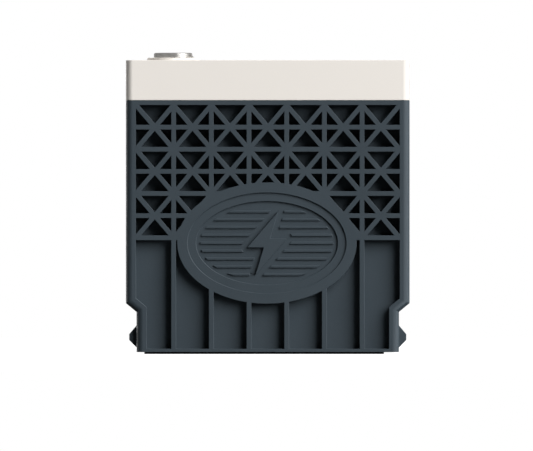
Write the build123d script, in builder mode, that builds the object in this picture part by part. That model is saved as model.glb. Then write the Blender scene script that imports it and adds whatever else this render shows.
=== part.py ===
from build123d import *
from math import atan2, degrees, hypot
import os

# A 12 V absorbed-glass-mat battery: a ribbed case, a heat-sealed lid, six cells in series, six relief
# valves under a strip cover, and two M6 pad terminals.
#
# Millimetres. X is the width, Y is the length along which the six cells stand, and Z is up. The origin is
# the centre of the footprint on the plane the battery rests on. The positive terminal is at the -Y end.

# ------------------------------------------------------------------ driving dimensions
width = 166.0
length = 198.0
lid_top = 172.0
seam = 148.5  # height of the joint between the case and the lid
corner_radius = 4.0
fit_gap = 0.02  # clearance between pieces that touch in the real battery

# Case outline, seen from the end
pad_thickness = 1.2
waist_width = 153.6
waist_top = 24.7
shoulder = 29.8  # the case has its full width from here up
rail_reach = 4.3
rail_low = 3.75
rail_flat_low = 8.2
rail_flat_high = 11.7
rail_high = 16.8
rail_setback = 7.0
rail_root = 1.0  # how far a rail's section runs into the wall

# Case wall
lattice_depth = 9.0  # end walls, above the lowest level rib
panel_depth = 6.0  # end walls below that rib, and side walls
wall = 3.0
waist_wall = 2.8
partition = 2.0
cell_count = 6

# Lattice on the walls
rib = 2.8
border = 5.85
bottom_border = 1.9
lattice_top = 145.7
lattice_bottom = 68.06
lattice_rows = 6
end_columns = 7
side_columns = 8
smallest_pocket = 6.0  # square millimetres: slivers beside the badge plate are left solid

# Oval badge plate on the end walls, and the label plate on the side walls
badge_x = -0.5
badge_z = 65.0
badge_radii = (52.5, 35.5)
badge_rim = 6.0
badge_band = 5.0
badge_band_depth = 1.0
badge_field_depth = 2.2
bolt_height = 37.0
bolt_top = 0.36  # the X of the bolt's top corner, these four being shares of half its height
bolt_elbow = 0.62  # the X of its outer elbow
bolt_notch = 0.10  # the X of its inner elbow
bolt_step = 0.14  # how far both elbows are from its middle
line_count = 9
line_pitch = 4.6
line_width = 1.4
line_height = 0.9
line_margin = 2.5  # clear space between the lines and the band
bolt_margin = 3.5  # and between the lines and the bolt
label_size = (116.0, 58.0)
label_centre_z = 92.0
label_radius = 6.0
label_inset = 3.0
label_depth = 0.5

# Foot pad
pad_left = -72.3
pad_right = 68.1
pad_setback = 12.0
pad_radius = 3.0

# Lid
lid_wall = 4.0
lid_roof = 3.0
lid_top_fillet = 0.3
lid_bottom_fillet = 0.3
mark_depth = 0.5
mark_length = 9.0
mark_width = 2.2
mark_offset = 24.0

# Terminals
terminal_x = -55.5
pad_diameter = 22.5
pad_height = 2.8
pad_chamfer = 0.6
boss_diameter = 30.4
boss_height = 1.6
boss_fillet = 0.4
pad_gap = 0.1
stem_radius = 6.0
stem_clearance = 0.1
stem_bottom = 157.0
well_radius = 9.5
well_floor = 161.5
well_floor_thickness = 3.0
well_wall = 3.0
potting_sink = 0.6
post_radius = 7.0
thread_radius = 2.5  # M6 tapping size
thread_depth = 13.0
thread_mouth_radius = 3.4

# Strip cover and valves
vent_x = 20.0
vent_width = 30.0
vent_length = 174.0
vent_thickness = 2.6
vent_clearance = 0.15
vent_floor = 2.4
vent_ledge = 3.0  # the strip's floor reaches this far past the recess
vent_radius = 4.0
vent_fillet = 0.5
pry_radius = 5.0
pry_depth = 1.4
peg_radius = 1.95
peg_length = 3.4
peg_hole_radius = 2.0
peg_hole_depth = 4.0
peg_boss_radius = 3.6
peg_chamfer = 0.4
valve_well_radius = 10.5
valve_well_depth = 10.0
valve_well_wall = 2.0
neck_radius = 6.0
neck_bore_radius = 3.0
neck_height = 7.5
valve_radius = 8.0
valve_bore_radius = 6.05
valve_collar = 0.8
valve_collar_height = 2.2
valve_fillet = 1.0
valve_foot_gap = 0.3
valve_lift = 0.8  # free height between a valve and the strip cover

# Cells
positive_plates = 5
negative_plates = 6
positive_thickness = 2.0
negative_thickness = 1.4
plate_width = 142.0
plate_lift = 1.0
plate_top = 118.0
separator_width = 146.0
separator_top = 120.5
lug_width = 11.0
lug_x = 55.5
strap_bottom = 126.0
strap_width = 22.0
strap_thickness = 8.0
strap_radius = 2.0
tab_width = 18.0
tab_thickness = 3.0
tab_top = 147.0
weld_radius = 5.0
weld_height = 140.5

# ------------------------------------------------------------------ sizes worked out from those
half_width = width / 2
half_length = length / 2
half_waist = waist_width / 2
case_bottom = pad_thickness
inside_x = half_waist - waist_wall
inside_y = half_length - lattice_depth - wall
inside_bottom = case_bottom + wall
cell_thickness = (2 * inside_y - (cell_count - 1) * partition) / cell_count
cell_pitch = cell_thickness + partition
cell_y = [(i - (cell_count - 1) / 2) * cell_pitch for i in range(cell_count)]
partition_y = [y + cell_pitch / 2 for y in cell_y[:-1]]
row_pitch = (lattice_top - lattice_bottom) / lattice_rows
pocket_bottom = case_bottom + bottom_border
side_pocket_bottom = shoulder + rib
boss_top = lid_top + boss_height
pad_bottom = boss_top + pad_gap
pad_top = pad_bottom + pad_height
recess_floor = lid_top - vent_thickness
well_bottom = recess_floor - valve_well_depth
well_underside = well_floor - well_floor_thickness
neck_top = well_bottom + neck_height
valve_top = recess_floor - valve_lift
roof_underside = lid_top - lid_roof
strip_floor_underside = recess_floor - vent_floor
valve_well_underside = well_bottom - vent_floor
ring_radius = (well_radius - stem_radius) / 2 - fit_gap
ring_centre_radius = (well_radius + stem_radius) / 2
potting_bottom = well_floor + 2 * ring_radius + 2 * fit_gap
potting_top = boss_top - potting_sink
weld_opening = 2 * partition  # deep enough to pass through a partition
plate_bottom = inside_bottom + plate_lift
lug_top = strap_bottom - fit_gap
strap_top = strap_bottom + strap_thickness
sheet_gaps = 2 * (positive_plates + negative_plates)
lead_thickness = positive_plates * positive_thickness + negative_plates * negative_thickness
separator_thickness = (cell_thickness - lead_thickness - sheet_gaps * fit_gap) / (2 * positive_plates)
plate_pitch_up = negative_thickness + separator_thickness + 2 * fit_gap
group_pitch = plate_pitch_up + positive_thickness + separator_thickness + 2 * fit_gap

front = Plane(origin=(0, -half_length, 0), x_dir=(1, 0, 0), z_dir=(0, -1, 0))
back = Plane(origin=(0, half_length, 0), x_dir=(-1, 0, 0), z_dir=(0, 1, 0))
right = Plane(origin=(half_width, 0, 0), x_dir=(0, 1, 0), z_dir=(1, 0, 0))
left = Plane(origin=(-half_width, 0, 0), x_dir=(0, -1, 0), z_dir=(-1, 0, 0))

os.makedirs("parts", exist_ok=True)


def write(piece, name):
    """Labels a finished piece and writes it as its own STEP file."""
    piece.part.label = name
    export_step(piece.part, f"parts/{name}.step")


# ------------------------------------------------------------------ case
def weld_side(i):
    """Returns +1 or -1, the side of X = 0 on which the weld through partition i stands."""
    return 1 if i % 2 == 0 else -1


def stepped_wall(plane, half_low, low_foot, step_low, half_high, step_high, top):
    """Returns the outline of a wall that narrows below a step, symmetrical about the plane's Y axis."""
    with BuildSketch(plane) as wall_shape:
        with BuildLine():
            Polyline(
                (0, low_foot),
                (half_low, low_foot),
                (half_low, step_low),
                (half_high, step_high),
                (half_high, top),
                (0, top),
            )
            mirror(about=Plane.YZ)
        make_face()
    return wall_shape.sketch


def lattice(half_span, columns, foot):
    """Cuts one wall's ribs from the open sketch: uprights, levels, and a cross in each two-row block."""
    pitch = 2 * half_span / columns
    block = 2 * row_pitch
    uprights = [(-half_span + k * pitch, (foot + lattice_top) / 2) for k in range(1, columns)]
    levels = [(0, lattice_top - k * row_pitch) for k in range(1, lattice_rows + 1)]
    crossings = [
        (-half_span + (column + 0.5) * pitch, lattice_top - (level + 0.5) * block)
        for column in range(columns)
        for level in range(lattice_rows // 2)
    ]
    slope = degrees(atan2(block, pitch))
    with Locations(*uprights):
        Rectangle(rib, lattice_top - foot, mode=Mode.SUBTRACT)
    with Locations(*levels):
        Rectangle(2 * half_span, rib, mode=Mode.SUBTRACT)
    with Locations(*crossings):
        Rectangle(hypot(pitch, block), rib, rotation=slope, mode=Mode.SUBTRACT)
        Rectangle(hypot(pitch, block), rib, rotation=-slope, mode=Mode.SUBTRACT)


def end_pockets(plane):
    """Returns the faces of an end wall's open pockets, around its badge plate."""
    high = half_width - border
    low = half_waist - border
    step_low = waist_top + rib
    step_high = shoulder + rib
    with BuildSketch(plane) as pockets:
        add(stepped_wall(Plane.XY, low, pocket_bottom, step_low, high, step_high, lattice_top))
        lattice(high, end_columns, pocket_bottom)
        with Locations((badge_x, badge_z)):
            Ellipse(*badge_radii, mode=Mode.SUBTRACT)
    return pockets.sketch.faces().filter_by(lambda pocket: pocket.area > smallest_pocket)


def side_pockets(plane):
    """Returns the faces of a side wall's open pockets, above the step and around its label plate."""
    with BuildSketch(plane) as pockets:
        with Locations((0, (side_pocket_bottom + lattice_top) / 2)):
            Rectangle(2 * inside_y, lattice_top - side_pocket_bottom)
        lattice(inside_y, side_columns, side_pocket_bottom)
        with Locations((0, label_centre_z)):
            RectangleRounded(*label_size, label_radius, mode=Mode.SUBTRACT)
    return pockets.sketch.faces().filter_by(lambda pocket: pocket.area > smallest_pocket)


def badge_oval(plane, inset):
    """Returns the badge plate's oval, drawn in by inset."""
    with BuildSketch(plane) as oval:
        with Locations((badge_x, badge_z)):
            Ellipse(badge_radii[0] - inset, badge_radii[1] - inset)
    return oval.sketch


def lightning_bolt(plane):
    """Returns a zigzag bolt with point symmetry, centred on the badge plate."""
    tip = bolt_height / 2
    half_bolt = [(bolt_top, 1), (-bolt_elbow, -bolt_step), (-bolt_notch, -bolt_step)]
    corners = [(x * tip, y * tip) for x, y in half_bolt]
    with BuildSketch(plane) as bolt:
        with Locations((badge_x, badge_z)):
            Polygon(*corners, *[(-x, -y) for x, y in corners], align=None)
    return bolt.sketch


def background_lines(plane):
    """Returns the level lines that fill the badge plate's field on both sides of the bolt."""
    inset = badge_rim + badge_band + line_margin
    with BuildSketch(plane) as lines:
        with Locations((badge_x, badge_z)):
            with GridLocations(0, line_pitch, 1, line_count):
                Rectangle(2 * badge_radii[0], line_width)
        add(badge_oval(Plane.XY, inset), mode=Mode.INTERSECT)
        offset(lightning_bolt(Plane.XY), amount=bolt_margin, mode=Mode.SUBTRACT)
    return lines.sketch


def label_field(plane):
    """Returns the sunken middle of a side wall's label plate."""
    with BuildSketch(plane) as field:
        with Locations((0, label_centre_z)):
            RectangleRounded(
                label_size[0] - 2 * label_inset,
                label_size[1] - 2 * label_inset,
                label_radius - label_inset,
            )
    return field.sketch


with BuildPart() as case:
    extrude(
        stepped_wall(front, half_waist, case_bottom, waist_top, half_width, shoulder, seam),
        amount=-length,
    )
    upright_corners = case.edges().filter_by(
        lambda edge: abs(edge.center().Y) > inside_y and abs(edge.center().X) > inside_x
    )
    fillet(upright_corners, radius=corner_radius)

    # Hold-down rails along both sides of the waist
    with BuildSketch(Plane.XZ.offset(half_length - rail_setback)):
        with BuildLine():
            Polyline(
                (half_waist - rail_root, rail_low),
                (half_waist, rail_low),
                (half_waist + rail_reach, rail_flat_low),
                (half_waist + rail_reach, rail_flat_high),
                (half_waist, rail_high),
                (half_waist - rail_root, rail_high),
                close=True,
            )
        make_face()
        mirror(about=Plane.YZ)
    extrude(amount=-(length - 2 * rail_setback))

    # Six cell compartments
    with BuildSketch(Plane.XY.offset(inside_bottom)):
        with Locations(*[(0, y) for y in cell_y]):
            Rectangle(2 * inside_x, cell_thickness)
    extrude(amount=seam - inside_bottom, mode=Mode.SUBTRACT)

    # Openings in the partitions for the welds between cells
    for i, y in enumerate(partition_y):
        with Locations(Location((weld_side(i) * lug_x, y, weld_height), (90, 0, 0))):
            Cylinder(weld_radius, weld_opening, mode=Mode.SUBTRACT)

    for plane in (front, back):
        pockets = end_pockets(plane)
        upper = pockets.filter_by_position(Axis.Z, lattice_bottom, seam)
        lower = pockets.filter_by_position(Axis.Z, case_bottom, lattice_bottom)
        extrude(upper, amount=-lattice_depth, mode=Mode.SUBTRACT)
        extrude(lower, amount=-panel_depth, mode=Mode.SUBTRACT)
        extrude(badge_oval(plane, badge_rim), amount=-badge_band_depth, mode=Mode.SUBTRACT)
        extrude(badge_oval(plane, badge_rim + badge_band), amount=-badge_field_depth, mode=Mode.SUBTRACT)
        extrude(lightning_bolt(plane), amount=-badge_field_depth)
        field_floor = plane.offset(-badge_field_depth)
        extrude(background_lines(field_floor), amount=line_height)
    for plane in (left, right):
        extrude(side_pockets(plane), amount=-panel_depth, mode=Mode.SUBTRACT)
        extrude(label_field(plane), amount=-label_depth, mode=Mode.SUBTRACT)
write(case, "case")


# ------------------------------------------------------------------ foot pad
with BuildPart() as foot_pad:
    with BuildSketch():
        with Locations(((pad_left + pad_right) / 2, 0)):
            RectangleRounded(pad_right - pad_left, length - 2 * pad_setback, pad_radius)
    extrude(amount=pad_thickness - fit_gap)
write(foot_pad, "foot_pad")


# ------------------------------------------------------------------ lid
terminal_places = [(terminal_x, cell_y[0]), (terminal_x, cell_y[-1])]
valve_places = [(vent_x, y) for y in cell_y]
peg_places = [(vent_x, y) for y in partition_y]


def round_bars(places, radius, low, high, mode=Mode.ADD):
    """Adds to the open part, or cuts from it, an upright cylinder from low to high at each place."""
    with BuildSketch(Plane.XY.offset(low)) as ends:
        with Locations(*places):
            Circle(radius)
    extrude(ends.sketch, amount=high - low, mode=mode)


with BuildPart() as cover:
    with BuildSketch(Plane.XY.offset(seam + fit_gap)):
        RectangleRounded(width, length, corner_radius)
    extrude(amount=lid_top - seam - fit_gap)
    fillet(cover.faces().sort_by(Axis.Z)[-1].edges(), radius=lid_top_fillet)
    fillet(cover.faces().sort_by(Axis.Z)[0].edges(), radius=lid_bottom_fillet)

    # Hollow underside, with a rib over each partition of the case
    with BuildSketch(Plane.XY.offset(seam + fit_gap)):
        Rectangle(width - 2 * lid_wall, length - 2 * lid_wall)
        with Locations(*[(0, y) for y in partition_y]):
            Rectangle(width, partition, mode=Mode.SUBTRACT)
    extrude(amount=roof_underside - seam - fit_gap, mode=Mode.SUBTRACT)

    # Thicker floor under the strip cover, valve wells, peg sockets and terminal wells
    with BuildSketch(Plane.XY.offset(strip_floor_underside)):
        with Locations((vent_x, 0)):
            Rectangle(vent_width + 2 * vent_ledge, vent_length + 2 * vent_ledge)
    extrude(amount=roof_underside - strip_floor_underside)
    round_bars(valve_places, valve_well_radius + valve_well_wall, valve_well_underside, roof_underside)
    round_bars(peg_places, peg_boss_radius, recess_floor - peg_hole_depth - vent_floor, roof_underside)
    round_bars(terminal_places, well_radius + well_wall, well_underside, roof_underside)
    round_bars(terminal_places, boss_diameter / 2, lid_top, boss_top)
    boss_rims = cover.edges().filter_by(GeomType.CIRCLE).group_by(Axis.Z)[-1]
    fillet(boss_rims, radius=boss_fillet)

    # Recess for the strip cover, with a scoop at one end to pry it up
    with BuildSketch(Plane.XY.offset(recess_floor)):
        with Locations((vent_x, 0)):
            RectangleRounded(
                vent_width + 2 * vent_clearance,
                vent_length + 2 * vent_clearance,
                vent_radius + vent_clearance,
            )
    extrude(amount=vent_thickness, mode=Mode.SUBTRACT)
    round_bars([(vent_x, -vent_length / 2)], pry_radius, lid_top - pry_depth, lid_top, Mode.SUBTRACT)
    round_bars(peg_places, peg_hole_radius, recess_floor - peg_hole_depth, recess_floor, Mode.SUBTRACT)

    # Valve wells, each with a bored neck
    round_bars(valve_places, valve_well_radius, well_bottom, recess_floor, Mode.SUBTRACT)
    round_bars(valve_places, neck_radius, well_bottom, neck_top)
    round_bars(valve_places, neck_bore_radius, valve_well_underside, neck_top, Mode.SUBTRACT)

    # Terminal wells
    round_bars(terminal_places, well_radius, well_floor, boss_top, Mode.SUBTRACT)
    round_bars(terminal_places, stem_radius + stem_clearance, well_underside, well_floor, Mode.SUBTRACT)

    # Sunken polarity marks, plus beside the near terminal and minus beside the far one
    with BuildSketch(Plane.XY.offset(lid_top - mark_depth)):
        with Locations((terminal_x + mark_offset, cell_y[0]), (terminal_x + mark_offset, cell_y[-1])):
            Rectangle(mark_length, mark_width)
        with Locations((terminal_x + mark_offset, cell_y[0])):
            Rectangle(mark_width, mark_length)
    extrude(amount=mark_depth, mode=Mode.SUBTRACT)
write(cover, "cover")


# ------------------------------------------------------------------ strip cover
with BuildPart() as vent_cover:
    with BuildSketch(Plane.XY.offset(recess_floor + fit_gap)):
        with Locations((vent_x, 0)):
            RectangleRounded(vent_width, vent_length, vent_radius)
    extrude(amount=vent_thickness - fit_gap)
    fillet(vent_cover.faces().sort_by(Axis.Z)[-1].edges(), radius=vent_fillet)
    round_bars(peg_places, peg_radius, recess_floor - peg_length, recess_floor + fit_gap)
    chamfer(vent_cover.faces().group_by(Axis.Z)[0].edges(), length=peg_chamfer)
write(vent_cover, "vent_cover")


# ------------------------------------------------------------------ relief valves
def relief_valve(x, y):
    """Returns a rubber cap with a foot collar, which fits over the neck in a valve well."""
    foot = well_bottom + valve_foot_gap
    with BuildPart() as valve:
        with BuildSketch(Plane.XZ):
            with BuildLine():
                Polyline(
                    (0, valve_top),
                    (valve_radius - valve_collar, valve_top),
                    (valve_radius - valve_collar, foot + valve_collar_height),
                    (valve_radius, foot + valve_collar_height),
                    (valve_radius, foot),
                    (valve_bore_radius, foot),
                    (valve_bore_radius, neck_top + fit_gap),
                    (0, neck_top + fit_gap),
                    close=True,
                )
            make_face()
        revolve(axis=Axis.Z)
        fillet(valve.faces().sort_by(Axis.Z)[-1].edges(), radius=valve_fillet)
    valve.part.position = (x, y, 0)
    return valve


for number, (x, y) in enumerate(valve_places, start=1):
    write(relief_valve(x, y), f"relief_valve_{number}")


# ------------------------------------------------------------------ terminals, seals and posts
def terminal(x, y):
    """Returns a round pad on a stem, tapped from the top."""
    with BuildPart() as pad:
        round_bars([(x, y)], pad_diameter / 2, pad_bottom, pad_top)
        chamfer(pad.faces().sort_by(Axis.Z)[-1].edges(), length=pad_chamfer)
        round_bars([(x, y)], stem_radius, stem_bottom, pad_bottom)
        with Locations((x, y, pad_top)):
            CounterSinkHole(thread_radius, thread_mouth_radius, depth=thread_depth, counter_sink_angle=90)
    return pad


def seal_ring(x, y):
    """Returns an O-ring that lies on the floor of a terminal well."""
    with BuildPart() as ring:
        with BuildSketch(Plane.XZ):
            with Locations((ring_centre_radius, well_floor + fit_gap + ring_radius)):
                Circle(ring_radius)
        revolve(axis=Axis.Z)
    ring.part.position = (x, y, 0)
    return ring


def potting(x, y):
    """Returns the epoxy between a terminal's stem and its well, above the seal ring."""
    with BuildPart() as collar:
        round_bars([(x, y)], well_radius - fit_gap, potting_bottom, potting_top)
        round_bars([(x, y)], stem_radius + fit_gap, potting_bottom, potting_top, Mode.SUBTRACT)
    return collar


def post(x, y):
    """Returns the lead post from an end strap up to the terminal's stem."""
    with BuildPart() as bar:
        round_bars([(x, y)], post_radius, strap_top + fit_gap, stem_bottom - fit_gap)
    return bar


for polarity, (x, y) in zip(("positive", "negative"), terminal_places):
    write(terminal(x, y), f"{polarity}_terminal")
    write(seal_ring(x, y), f"{polarity}_seal_ring")
    write(potting(x, y), f"{polarity}_potting")
    write(post(x, y), f"{polarity}_post")


# ------------------------------------------------------------------ cells
def sheets(starts, thickness, sheet_width, bottom, top, lug_side=0):
    """Returns upright sheets that begin at the given Y places, lugged on one side unless lug_side is 0."""
    with BuildPart() as stack:
        for y in starts:
            with BuildSketch(Plane.XZ.offset(-y)):
                with Locations((0, (bottom + top) / 2)):
                    Rectangle(sheet_width, top - bottom)
                if lug_side:
                    with Locations((lug_side * lug_x, (top + lug_top) / 2)):
                        Rectangle(lug_width, lug_top - top)
            extrude(amount=-thickness)
    return stack


def strap(y, side, tab_direction):
    """Returns the bar over a row of lugs, with an upright tab on its tab_direction side, if any."""
    with BuildPart() as bar:
        with BuildSketch(Plane.XY.offset(strap_bottom)):
            with Locations((side * lug_x, y)):
                RectangleRounded(strap_width, cell_thickness - 2 * fit_gap, strap_radius)
        extrude(amount=strap_thickness)
        if tab_direction:
            tab_y = y + tab_direction * (cell_thickness / 2 - fit_gap - tab_thickness / 2)
            with BuildSketch(Plane.XY.offset(strap_bottom)):
                with Locations((side * lug_x, tab_y)):
                    Rectangle(tab_width, tab_thickness)
            extrude(amount=tab_top - strap_bottom)
    return bar


for number, y in enumerate(cell_y, start=1):
    positive_side = -1 if number % 2 else 1
    first = y - cell_thickness / 2 + fit_gap
    negative_starts = [first + k * group_pitch for k in range(negative_plates)]
    positive_starts = [start + plate_pitch_up for start in negative_starts[:-1]]
    separator_starts = [start + negative_thickness + fit_gap for start in negative_starts[:-1]]
    separator_starts += [start + positive_thickness + fit_gap for start in positive_starts]
    positives = sheets(
        positive_starts, positive_thickness, plate_width, plate_bottom, plate_top, positive_side
    )
    negatives = sheets(
        negative_starts, negative_thickness, plate_width, plate_bottom, plate_top, -positive_side
    )
    mats = sheets(
        separator_starts, separator_thickness, separator_width, inside_bottom + fit_gap, separator_top
    )
    write(positives, f"cell_{number}_positive_plates")
    write(negatives, f"cell_{number}_negative_plates")
    write(mats, f"cell_{number}_separators")
    write(strap(y, positive_side, -1 if number > 1 else 0), f"cell_{number}_positive_strap")
    write(strap(y, -positive_side, 1 if number < cell_count else 0), f"cell_{number}_negative_strap")

with BuildPart() as intercell_welds:
    for i, y in enumerate(partition_y):
        with Locations(Location((weld_side(i) * lug_x, y, weld_height), (90, 0, 0))):
            Cylinder(weld_radius - fit_gap, partition)
write(intercell_welds, "intercell_welds")
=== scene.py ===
from math import cos, pi, radians, sin

import bmesh
import bpy
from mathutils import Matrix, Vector


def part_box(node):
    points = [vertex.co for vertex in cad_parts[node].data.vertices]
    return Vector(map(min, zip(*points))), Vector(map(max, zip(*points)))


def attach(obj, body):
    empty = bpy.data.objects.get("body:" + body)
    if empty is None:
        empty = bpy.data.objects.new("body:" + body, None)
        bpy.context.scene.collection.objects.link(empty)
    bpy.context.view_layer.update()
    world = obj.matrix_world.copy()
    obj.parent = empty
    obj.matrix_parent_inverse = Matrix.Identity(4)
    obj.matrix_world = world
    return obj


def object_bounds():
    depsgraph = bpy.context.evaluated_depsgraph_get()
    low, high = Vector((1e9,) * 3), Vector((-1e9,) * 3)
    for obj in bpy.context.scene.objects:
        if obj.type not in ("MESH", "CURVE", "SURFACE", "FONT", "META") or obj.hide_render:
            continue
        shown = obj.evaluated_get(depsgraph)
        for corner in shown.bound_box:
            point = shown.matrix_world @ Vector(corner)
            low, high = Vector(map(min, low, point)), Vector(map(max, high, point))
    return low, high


# A sealed 12 V motorcycle battery. The CAD nodes carry every shape but the screw threads; here they get
# moulded edges and their materials, and stand on a pale floor between softboxes, before a long lens.

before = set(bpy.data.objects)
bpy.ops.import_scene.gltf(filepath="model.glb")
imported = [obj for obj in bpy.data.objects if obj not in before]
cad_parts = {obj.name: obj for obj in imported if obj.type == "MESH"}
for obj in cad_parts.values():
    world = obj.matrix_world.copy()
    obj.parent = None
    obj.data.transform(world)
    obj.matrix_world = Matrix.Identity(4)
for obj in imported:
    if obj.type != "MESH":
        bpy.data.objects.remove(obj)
cad_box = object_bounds()

# ------------------------------------------------------------------ sizes, in metres
MM = 0.001
ROOT_BODY = "battery"
TERMINALS = ("positive_terminal", "negative_terminal")
CELLS = range(1, 7)

# Edges that the moulds and tools leave on the pieces
EDGE_RADIUS = {
    "case": 0.2 * MM,
    "cover": 0.2 * MM,
    "vent_cover": 0.15 * MM,
    "foot_pad": 0.2 * MM,
    "positive_terminal": 0.12 * MM,
    "negative_terminal": 0.12 * MM,
}
EDGE_SEGMENTS = 3
EDGE_ANGLE = radians(30)  # an edge that turns by more than this is rounded
FACET_ANGLE = radians(0.5)  # facets that turn by less than this are one face
WELD_DISTANCE = 0.002 * MM

# Paint in the lid's sunken plus and minus
MARK_OFFSET = 24 * MM  # from a terminal's axis to its mark
MARK_REACH = 4.6 * MM
PAINT_DEPTH = 0.45 * MM  # of the middle of the painted layer, below the lid's top
PAINT_REACH = 0.2 * MM

# Turning marks on the terminals, and the grid in the plates
TURNING_PITCH = 0.32 * MM
TURNING_DEPTH = 0.0015 * MM
GRID_SPACING = 10 * MM
GRID_DEPTH = 0.15 * MM

# Screw thread in each terminal
THREAD_PITCH = 1 * MM
THREAD_LENGTH = 11 * MM
THREAD_TOP = 1.2 * MM  # below the pad's face
BORE_RADIUS = 2.5 * MM
RIDGE_HEIGHT = 0.22 * MM
RIDGE_ROOT = 0.05 * MM  # how far the ridge's foot runs into the bore's wall
RIDGE_FOOT = 0.36 * MM  # half the ridge's width at its foot
RIDGE_CREST = 0.07 * MM  # and at its crest
SECTIONS_PER_TURN = 36

# Studio
LIGHT_DISTANCE = 5.5
FLOOR_REACH = 60.0
FLOOR_NEAR = 0.35  # the floor shows the object's shadow out to here,
FLOOR_FAR = 1.2  # and is plain background from here on
DOME_RADIUS = 9.0

# Camera
LENS = 1000  # millimetres, as is the sensor's width
SENSOR = 36
FRAME_WIDTH = 311.75 * MM
CAMERA_X = -0.72 * MM
CAMERA_Z = 75.27 * MM
CAMERA_REACH = 200.0

# ------------------------------------------------------------------ colours and brightnesses, linear
SLATE = (0.038, 0.052, 0.0635)
CREAM = (0.81, 0.77, 0.72)
STRIP_CREAM = (0.79, 0.75, 0.7)
RED_PAINT = (0.45, 0.022, 0.016)
BLACK_PAINT = (0.02, 0.02, 0.022)
DULL_TIN = (0.55, 0.535, 0.51)
BRIGHT_TIN = (0.64, 0.63, 0.61)
# The foot pad's black rubber, made far darker than real rubber: painted shade for the gap under the case
PAD_BLACK_AND_SHADE = (0.004, 0.004, 0.004)
SEAL_BLACK = (0.012, 0.012, 0.012)
RED_RESIN = (0.3, 0.014, 0.011)
BLUE_RESIN = (0.017, 0.048, 0.19)
DARK_LEAD = (0.15, 0.155, 0.165)
PALE_LEAD = (0.3, 0.305, 0.32)
BROWN_PASTE = (0.085, 0.034, 0.021)
GREY_PASTE = (0.18, 0.19, 0.205)
DARK_MAT = (0.66, 0.66, 0.63)
PALE_MAT = (0.86, 0.86, 0.84)
WHITE = (1, 1, 1, 1)

# Roughness, from the glossiest spots to the dullest
GLOSS_DRIFT = 0.06  # of moulded plastic, to either side of its mean
TIN_ROUGHNESS = (0.3, 0.38)
RUBBER_ROUGHNESS = (0.66, 0.84)
RESIN_ROUGHNESS = (0.12, 0.25)
LEAD_ROUGHNESS = (0.42, 0.62)
PASTE_ROUGHNESS = (0.78, 0.95)
MAT_ROUGHNESS = (0.85, 1.0)

DRIFT_SHARE = 0.6  # of a moulding's change of shade that is slow drift; the rest is speckle
NOISE_MIDDLE = (0.3, 0.7)  # where nearly all of a noise's values lie

BACKGROUND = 0.8  # of the far floor and of the surround, seen from above the horizon
HORIZON = (0.02, 0.045)  # slopes of view: below the first all is white, above the second it's BACKGROUND
FLOOR_PAINT = 0.45  # share of light that the near floor sends to the camera
FLOOR_BASE = 0.25  # and what it shows in full shadow
FLOOR_BOUNCE = 0.12  # share of light that it sends to the object
WORLD_GLOW = 0.02
DOME_GLOW = 0.36


# ------------------------------------------------------------------ node trees
class Nodes:
    """Shortcuts for adding nodes to a node tree."""

    def __init__(self, tree):
        self.tree = tree

    def add(self, kind, **settings):
        node = self.tree.nodes.new(kind)
        for key, value in settings.items():
            setattr(node, key, value)
        return node

    def join(self, source, target):
        self.tree.links.new(source, target)

    def feed(self, value, socket):
        """Gives the socket a number, a linear RGB triple or another node's output."""
        if isinstance(value, (int, float)):
            socket.default_value = value
        elif isinstance(value, tuple):
            socket.default_value = (*value, 1)
        else:
            self.join(value, socket)

    def math(self, operation, *values):
        node = self.add("ShaderNodeMath", operation=operation)
        for value, socket in zip(values, node.inputs):
            self.feed(value, socket)
        return node.outputs["Value"]

    def split(self, vector):
        """The X, Y and Z outputs of a vector."""
        node = self.add("ShaderNodeSeparateXYZ")
        self.join(vector, node.inputs["Vector"])
        return node.outputs

    def ramp(self, value, start, end, low, high, curve="SMOOTHSTEP"):
        """Goes from low to high as value goes from start to end, and stays there."""
        node = self.add("ShaderNodeMapRange", interpolation_type=curve)
        self.join(value, node.inputs["Value"])
        for name, number in (("From Min", start), ("From Max", end), ("To Min", low), ("To Max", high)):
            node.inputs[name].default_value = number
        return node.outputs["Result"]

    def blend(self, value, first, second):
        """A colour that goes from the first to the second as value goes from 0 to 1."""
        node = self.add("ShaderNodeMix", data_type="RGBA")
        self.join(value, node.inputs["Factor"])
        self.feed(first, node.inputs["A"])
        self.feed(second, node.inputs["B"])
        return node.outputs["Result"]


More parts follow.
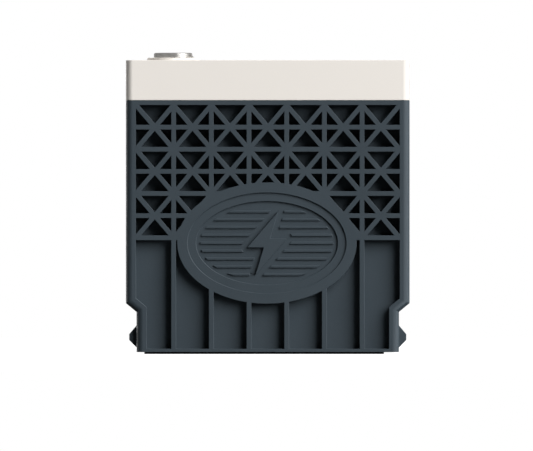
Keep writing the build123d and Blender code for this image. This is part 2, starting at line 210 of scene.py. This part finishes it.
class Surface(Nodes):
    """A material under construction, whose textures lie in the object's own space."""

    def __init__(self, name):
        self.material = bpy.data.materials.new(name)
        self.material.use_nodes = True
        super().__init__(self.material.node_tree)
        self.shader = self.tree.nodes["Principled BSDF"]
        self.place = self.add("ShaderNodeTexCoord").outputs["Object"]

    def noise(self, size, detail=3.0, roughness=0.5, stretch=(1, 1, 1)):
        """A noise value whose features are about size metres across."""
        mapping = self.add("ShaderNodeMapping")
        mapping.inputs["Scale"].default_value = stretch
        self.join(self.place, mapping.inputs["Vector"])
        node = self.add("ShaderNodeTexNoise")
        node.inputs["Scale"].default_value = 1 / size
        node.inputs["Detail"].default_value = detail
        node.inputs["Roughness"].default_value = roughness
        self.join(mapping.outputs["Vector"], node.inputs["Vector"])
        return node.outputs["Fac"]

    def spread(self, noise, low, high):
        """Maps the middle of a noise's range onto low to high."""
        return self.ramp(noise, *NOISE_MIDDLE, low, high, curve="LINEAR")

    def mottle(self, noise, dark, pale):
        """A colour that follows a noise from dark to pale."""
        return self.blend(self.spread(noise, 0, 1), dark, pale)

    def bump(self, height, depth, normal=None):
        """A normal disturbed by a 0 to 1 height worth depth metres."""
        node = self.add("ShaderNodeBump")
        node.inputs["Distance"].default_value = depth
        self.join(height, node.inputs["Height"])
        if normal is not None:
            self.join(normal, node.inputs["Normal"])
        return node.outputs["Normal"]

    def inside(self, low, high):
        """1 in the box between the corners low and high, and 0 outside it."""
        result = 1.0
        for value, start, end in zip(self.split(self.place), low, high):
            above = self.math("GREATER_THAN", value, start)
            below = self.math("LESS_THAN", value, end)
            result = self.math("MULTIPLY", self.math("MULTIPLY", above, below), result)
        return result

    def finish(self, colour, roughness, normal, **values):
        """Joins up the Principled shader and returns the material."""
        for name, source in (("Base Color", colour), ("Roughness", roughness), ("Normal", normal)):
            self.join(source, self.shader.inputs[name])
        for name, value in values.items():
            self.shader.inputs[name.replace("_", " ")].default_value = value
        return self.material


# ------------------------------------------------------------------ materials
def scaled(colour, factor):
    return tuple(channel * factor for channel in colour)


def moulded_plastic(name, colour, contrast, roughness, specular, grain_depth, paints=()):
    """Injection-moulded plastic: slow shade drift, fine speckle and grain, with paint in some boxes."""
    s = Surface(name)
    drift = s.noise(60 * MM, detail=2)
    speckle = s.noise(0.9 * MM, detail=2)
    grain = s.noise(0.35 * MM, detail=3, roughness=0.6)
    slow = s.math("MULTIPLY", drift, DRIFT_SHARE)
    fine = s.math("MULTIPLY", speckle, 1 - DRIFT_SHARE)
    tint = s.mottle(s.math("ADD", slow, fine), scaled(colour, 1 - contrast), scaled(colour, 1 + contrast))
    for paint, low, high in paints:
        tint = s.blend(s.inside(low, high), tint, paint)
    gloss = s.spread(s.noise(14 * MM), roughness - GLOSS_DRIFT, roughness + GLOSS_DRIFT)
    return s.finish(tint, gloss, s.bump(grain, grain_depth), Specular_IOR_Level=specular)


def terminal_metal(name, axis):
    """Tin-plated metal with turning marks around the terminal's axis, dulled in patches."""
    s = Surface(name)
    parts = s.split(s.place)
    across = s.math("POWER", s.math("ABSOLUTE", s.math("SUBTRACT", parts["X"], axis.x)), 2.0)
    along = s.math("POWER", s.math("ABSOLUTE", s.math("SUBTRACT", parts["Y"], axis.y)), 2.0)
    radius = s.math("SQRT", s.math("ADD", across, along))
    path = s.math("ADD", radius, parts["Z"])
    turning = s.math("SINE", s.math("MULTIPLY", path, 2 * pi / TURNING_PITCH))
    patches = s.noise(3.5 * MM, detail=4, roughness=0.55)
    tint = s.mottle(patches, DULL_TIN, BRIGHT_TIN)
    gloss = s.spread(patches, *TIN_ROUGHNESS)
    return s.finish(tint, gloss, s.bump(turning, TURNING_DEPTH), Metallic=1.0)


def rubber(name, colour, grain_size):
    """Dull rubber with a dusty bloom."""
    s = Surface(name)
    bloom = s.noise(6 * MM, detail=5, roughness=0.7)
    tint = s.mottle(bloom, scaled(colour, 0.7), scaled(colour, 1.5))
    gloss = s.spread(bloom, *RUBBER_ROUGHNESS)
    return s.finish(tint, gloss, s.bump(s.noise(grain_size, detail=4), 0.04 * MM))


def epoxy(name, colour):
    """Cast resin: glossy, with faint pooling."""
    s = Surface(name)
    pools = s.noise(5 * MM, detail=3)
    tint = s.mottle(pools, scaled(colour, 0.75), scaled(colour, 1.2))
    gloss = s.spread(pools, *RESIN_ROUGHNESS)
    return s.finish(tint, gloss, s.bump(pools, 0.08 * MM))


def cast_lead(name):
    """Cast lead alloy: blue-grey, dull, with crystalline mottling."""
    s = Surface(name)
    crystals = s.add("ShaderNodeTexVoronoi")
    crystals.inputs["Scale"].default_value = 1 / (2.4 * MM)
    s.join(s.place, crystals.inputs["Vector"])
    tint = s.blend(crystals.outputs["Distance"], DARK_LEAD, PALE_LEAD)
    gloss = s.spread(s.noise(3 * MM), *LEAD_ROUGHNESS)
    return s.finish(tint, gloss, s.bump(s.noise(1.2 * MM, detail=5), 0.08 * MM), Metallic=0.85)


def pasted_plate(name, colour):
    """Battery plate: dried paste pressed into a lead grid, whose wires show as faint ridges."""
    s = Surface(name)
    upright = s.add("ShaderNodeMapping")
    upright.inputs["Rotation"].default_value = (pi / 2, 0, 0)
    s.join(s.place, upright.inputs["Vector"])
    grid = s.add("ShaderNodeTexBrick")
    grid.inputs["Scale"].default_value = 1 / GRID_SPACING
    grid.inputs["Mortar Size"].default_value = 0.06
    grid.inputs["Mortar Smooth"].default_value = 0.5
    s.join(upright.outputs["Vector"], grid.inputs["Vector"])
    crumbs = s.noise(0.8 * MM, detail=6, roughness=0.75)
    tint = s.mottle(crumbs, scaled(colour, 0.7), scaled(colour, 1.3))
    gloss = s.spread(crumbs, *PASTE_ROUGHNESS)
    wires = s.bump(grid.outputs["Fac"], GRID_DEPTH)
    return s.finish(tint, gloss, s.bump(crumbs, 0.12 * MM, wires))


def glass_mat(name):
    """Felted glass fibre, streaked along the sheet."""
    s = Surface(name)
    fibres = s.noise(0.7 * MM, detail=6, roughness=0.8, stretch=(0.15, 1, 1))
    tint = s.mottle(fibres, DARK_MAT, PALE_MAT)
    gloss = s.spread(fibres, *MAT_ROUGHNESS)
    return s.finish(tint, gloss, s.bump(fibres, 0.1 * MM), Sheen_Weight=0.3)


# ------------------------------------------------------------------ materials on the CAD nodes
def centre_of(node):
    low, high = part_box(node)
    return (low + high) / 2


def mark_paint(terminal, colour):
    """The paint in the lid's sunken mark beside a terminal: its colour and the corners of its box."""
    beside = centre_of(terminal)
    lid_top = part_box("vent_cover")[1].z
    middle = Vector((beside.x + MARK_OFFSET, beside.y, lid_top - PAINT_DEPTH))
    reach = Vector((MARK_REACH, MARK_REACH, PAINT_REACH))
    return colour, middle - reach, middle + reach


lid_paints = [mark_paint("positive_terminal", RED_PAINT), mark_paint("negative_terminal", BLACK_PAINT)]
lid_finish = {"contrast": 0.012, "roughness": 0.6, "specular": 0.06, "grain_depth": 0.012 * MM}
case_finish = {"contrast": 0.07, "roughness": 0.55, "specular": 0.25, "grain_depth": 0.02 * MM}
seal_rubber = rubber("seal_rubber", SEAL_BLACK, grain_size=0.4 * MM)

MATERIALS = {
    "case": moulded_plastic("case_plastic", SLATE, **case_finish),
    "cover": moulded_plastic("lid_plastic", CREAM, **lid_finish, paints=lid_paints),
    "vent_cover": moulded_plastic("strip_plastic", STRIP_CREAM, **lid_finish),
    # The foot pad: black rubber whose colour also carries painted shade under the case
    "foot_pad": rubber("pad_rubber_and_shade", PAD_BLACK_AND_SHADE, grain_size=0.8 * MM),
    "positive_terminal": terminal_metal("positive_tin", centre_of("positive_terminal")),
    "negative_terminal": terminal_metal("negative_tin", centre_of("negative_terminal")),
    "positive_potting": epoxy("positive_resin", RED_RESIN),
    "negative_potting": epoxy("negative_resin", BLUE_RESIN),
}
# The pieces that come in numbers or pairs, by what their names end with
FAMILIES = {
    "_seal_ring": seal_rubber,
    "_separators": glass_mat("separator_mat"),
    "_positive_plates": pasted_plate("positive_paste", BROWN_PASTE),
    "_negative_plates": pasted_plate("negative_paste", GREY_PASTE),
}
FAMILIES.update(dict.fromkeys(("_strap", "_post", "_welds"), cast_lead("cast_lead")))
FAMILIES.update({f"relief_valve_{cell}": seal_rubber for cell in CELLS})


def material_for(node):
    if node in MATERIALS:
        return MATERIALS[node]
    return next(material for ending, material in FAMILIES.items() if node.endswith(ending))


for node_name, node_object in sorted(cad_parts.items()):
    node_object.data.materials.clear()
    node_object.data.materials.append(material_for(node_name))


# ------------------------------------------------------------------ moulded edges
def shade_smooth_group():
    """A geometry node group that marks all faces and edges as smooth."""
    group = bpy.data.node_groups.new("shade_smooth", "GeometryNodeTree")
    for direction in ("INPUT", "OUTPUT"):
        group.interface.new_socket("Geometry", in_out=direction, socket_type="NodeSocketGeometry")
    n = Nodes(group)
    source = n.add("NodeGroupInput").outputs["Geometry"]
    for domain in ("FACE", "EDGE"):
        smooth = n.add("GeometryNodeSetShadeSmooth", domain=domain)
        n.join(source, smooth.inputs["Geometry"])
        source = smooth.outputs["Geometry"]
    n.join(source, n.add("NodeGroupOutput").inputs["Geometry"])
    return group


def round_edges(piece, radius, smooth_group):
    """Joins a CAD node's facets into whole faces, and rounds the edges between them."""
    weld = piece.modifiers.new("weld", "WELD")
    weld.merge_threshold = WELD_DISTANCE
    merge = piece.modifiers.new("merge_facets", "DECIMATE")
    merge.decimate_type = "DISSOLVE"
    merge.angle_limit = FACET_ANGLE
    smooth = piece.modifiers.new("smooth", "NODES")
    smooth.node_group = smooth_group
    edges = piece.modifiers.new("edges", "BEVEL")
    edges.width = radius
    edges.segments = EDGE_SEGMENTS
    edges.limit_method = "ANGLE"
    edges.angle_limit = EDGE_ANGLE
    edges.use_clamp_overlap = False
    faces = piece.modifiers.new("flat_faces", "WEIGHTED_NORMAL")
    faces.keep_sharp = False


shade_smooth = shade_smooth_group()
for node_name, edge_radius in EDGE_RADIUS.items():
    round_edges(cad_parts[node_name], edge_radius, shade_smooth)


# ------------------------------------------------------------------ screw threads in the terminals
def place_object(name, data):
    thing = bpy.data.objects.new(name, data)
    bpy.context.scene.collection.objects.link(thing)
    return thing


def thread_ridge(terminal):
    """The ridge of a terminal's inside thread: one closed helix that fades out at both ends."""
    centre = centre_of(terminal)
    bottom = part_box(terminal)[1].z - THREAD_TOP - THREAD_LENGTH
    foot = BORE_RADIUS + RIDGE_ROOT
    last = round(THREAD_LENGTH / THREAD_PITCH * SECTIONS_PER_TURN)
    shape = bmesh.new()
    sections = []
    for i in range(last + 1):
        turns = i / SECTIONS_PER_TURN
        fade = min(1, (i + 1) / SECTIONS_PER_TURN, (last + 1 - i) / SECTIONS_PER_TURN)
        crest = foot - (RIDGE_ROOT + RIDGE_HEIGHT) * fade
        profile = ((foot, -RIDGE_FOOT), (crest, -RIDGE_CREST), (crest, RIDGE_CREST), (foot, RIDGE_FOOT))
        across, along = cos(2 * pi * turns), sin(2 * pi * turns)
        sections.append([
            shape.verts.new((
                centre.x + radius * across,
                centre.y + radius * along,
                bottom + turns * THREAD_PITCH + rise,
            ))
            for radius, rise in profile
        ])
    for first, second in zip(sections, sections[1:]):
        for k in range(4):
            after = (k + 1) % 4
            shape.faces.new((first[k], first[after], second[after], second[k]))
    shape.faces.new(sections[0])
    shape.faces.new(sections[-1])
    bmesh.ops.recalc_face_normals(shape, faces=shape.faces)
    mesh = bpy.data.meshes.new(f"{terminal}_thread")
    shape.to_mesh(mesh)
    shape.free()
    mesh.materials.append(MATERIALS[terminal])
    ridge = place_object(mesh.name, mesh)
    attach(ridge, ROOT_BODY)
    return ridge


threads = [thread_ridge(terminal) for terminal in TERMINALS]


# ------------------------------------------------------------------ floor, surround, lights and camera
MIDDLE = Vector((0, 0, (cad_box[0].z + cad_box[1].z) / 2))


def softbox(name, azimuth, elevation, width, height, brightness):
    """A rectangular light that faces the object, of so many watts per square metre.

    Azimuth 0 is the camera's side and 90 is the +X side.
    """
    light = bpy.data.lights.new(name, "AREA")
    light.shape = "RECTANGLE"
    light.size = width
    light.size_y = height
    light.energy = brightness * width * height
    turn, rise = radians(azimuth), radians(elevation)
    away = Vector((sin(turn) * cos(rise), -cos(turn) * cos(rise), sin(rise)))
    lamp = place_object(name, light)
    lamp.location = MIDDLE + LIGHT_DISTANCE * away
    lamp.rotation_euler = (-away).to_track_quat("-Z", "Y").to_euler()
    lamp.visible_camera = False
    return lamp


def link_light(lamp, receivers, state):
    """Shines the lamp on the receivers only, with state INCLUDE, or on all but them, with EXCLUDE."""
    linked = bpy.data.collections.new(f"{lamp.name}_{state.lower()}")
    for receiver in receivers:
        linked.objects.link(receiver)
    for link in linked.collection_objects:
        link.light_linking.link_state = state
    lamp.light_linking.receiver_collection = linked


def reflection_dome():
    """A pale dome that is seen only as a reflection."""
    mesh = bpy.data.meshes.new("dome")
    shape = bmesh.new()
    bmesh.ops.create_uvsphere(shape, u_segments=32, v_segments=16, radius=DOME_RADIUS)
    shape.to_mesh(mesh)
    shape.free()
    s = Surface("dome_paper")
    glow = s.add("ShaderNodeEmission")
    glow.inputs["Strength"].default_value = DOME_GLOW
    s.join(glow.outputs["Emission"], s.tree.nodes["Material Output"].inputs["Surface"])
    s.tree.nodes.remove(s.shader)
    mesh.materials.append(s.material)
    dome = place_object("dome", mesh)
    dome.visible_camera = False
    dome.visible_diffuse = False
    dome.visible_shadow = False
    dome.visible_transmission = False
    return dome


def horizon_white(nodes, slope):
    """1 where the view is nearly level, 0 where it slopes: a level view has a pure white background."""
    return nodes.ramp(slope, *HORIZON, 1.0, 0.0)


def pale_floor():
    """A paper floor with a soft shadow near the object, which runs out into the plain background."""
    mesh = bpy.data.meshes.new("floor")
    corners = [(x * FLOOR_REACH, y * FLOOR_REACH, 0) for x, y in ((-1, -1), (1, -1), (1, 1), (-1, 1))]
    mesh.from_pydata(corners, [], [(0, 1, 2, 3)])
    s = Surface("floor_paper")
    s.shader.inputs["Roughness"].default_value = 1.0
    s.shader.inputs["Specular IOR Level"].default_value = 0.0
    s.shader.inputs["Emission Color"].default_value = WHITE
    seen = s.add("ShaderNodeLightPath").outputs["Is Camera Ray"]
    unseen = s.math("SUBTRACT", 1.0, seen)
    away = s.add("ShaderNodeVectorMath", operation="LENGTH")
    s.join(s.place, away.inputs[0])
    distance = away.outputs["Value"]
    view = s.add("ShaderNodeNewGeometry")
    slope = s.add("ShaderNodeVectorMath", operation="DOT_PRODUCT")
    s.join(view.outputs["Incoming"], slope.inputs[0])
    s.join(view.outputs["Normal"], slope.inputs[1])
    paint = s.math("MULTIPLY", seen, s.ramp(distance, FLOOR_NEAR, FLOOR_FAR, FLOOR_PAINT, 0.0))
    s.join(s.math("ADD", paint, s.math("MULTIPLY", unseen, FLOOR_BOUNCE)), s.shader.inputs["Base Color"])
    base = s.ramp(distance, FLOOR_NEAR, FLOOR_FAR, FLOOR_BASE, BACKGROUND)
    glow = s.math("MULTIPLY", seen, s.math("MAXIMUM", base, horizon_white(s, slope.outputs["Value"])))
    s.join(glow, s.shader.inputs["Emission Strength"])
    mesh.materials.append(s.material)
    place_object("floor", mesh)


def plain_surround():
    """A world that looks like the far floor and gives almost no light."""
    world = bpy.data.worlds.new("surround")
    world.use_nodes = True
    bpy.context.scene.world = world
    n = Nodes(world.node_tree)
    direction = n.add("ShaderNodeTexCoord").outputs["Generated"]
    slope = n.math("ABSOLUTE", n.split(direction)["Z"])
    seen = n.add("ShaderNodeLightPath").outputs["Is Camera Ray"]
    look = n.math("MULTIPLY", seen, n.math("MAXIMUM", horizon_white(n, slope), BACKGROUND))
    background = n.tree.nodes["Background"]
    background.inputs["Color"].default_value = WHITE
    n.join(n.math("MAXIMUM", look, WORLD_GLOW), background.inputs["Strength"])


def product_camera():
    """A long lens straight in front of the near end wall."""
    data = bpy.data.cameras.new("camera")
    data.lens = LENS
    data.sensor_width = SENSOR
    data.clip_end = CAMERA_REACH
    camera = place_object("camera", data)
    distance = FRAME_WIDTH * LENS / SENSOR
    camera.location = (CAMERA_X, cad_box[0].y - distance, CAMERA_Z)
    camera.rotation_euler = (pi / 2, 0, 0)
    bpy.context.scene.camera = camera


pale_floor()
plain_surround()
product_camera()
key = softbox("key", azimuth=47, elevation=30, width=4.0, height=4.8, brightness=28.6)
metal_key = softbox("metal_key", azimuth=60, elevation=30, width=4.0, height=4.8, brightness=28.6)
side = softbox("side", azimuth=88, elevation=15, width=2.4, height=3.0, brightness=25)
left_back = softbox("left_back", azimuth=-128, elevation=14, width=3.0, height=3.0, brightness=18)
back = softbox("back", azimuth=195, elevation=14, width=4.0, height=3.0, brightness=15)

bright_metal = [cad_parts[terminal] for terminal in TERMINALS] + threads
lid_pieces = [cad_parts["cover"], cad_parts["vent_cover"]]
link_light(side, bright_metal + lid_pieces, "EXCLUDE")
for lamp in (key, left_back, back):
    link_light(lamp, bright_metal, "EXCLUDE")
for lamp in (metal_key, reflection_dome()):
    link_light(lamp, bright_metal, "INCLUDE")
bpy.context.scene.view_settings.view_transform = "Standard"
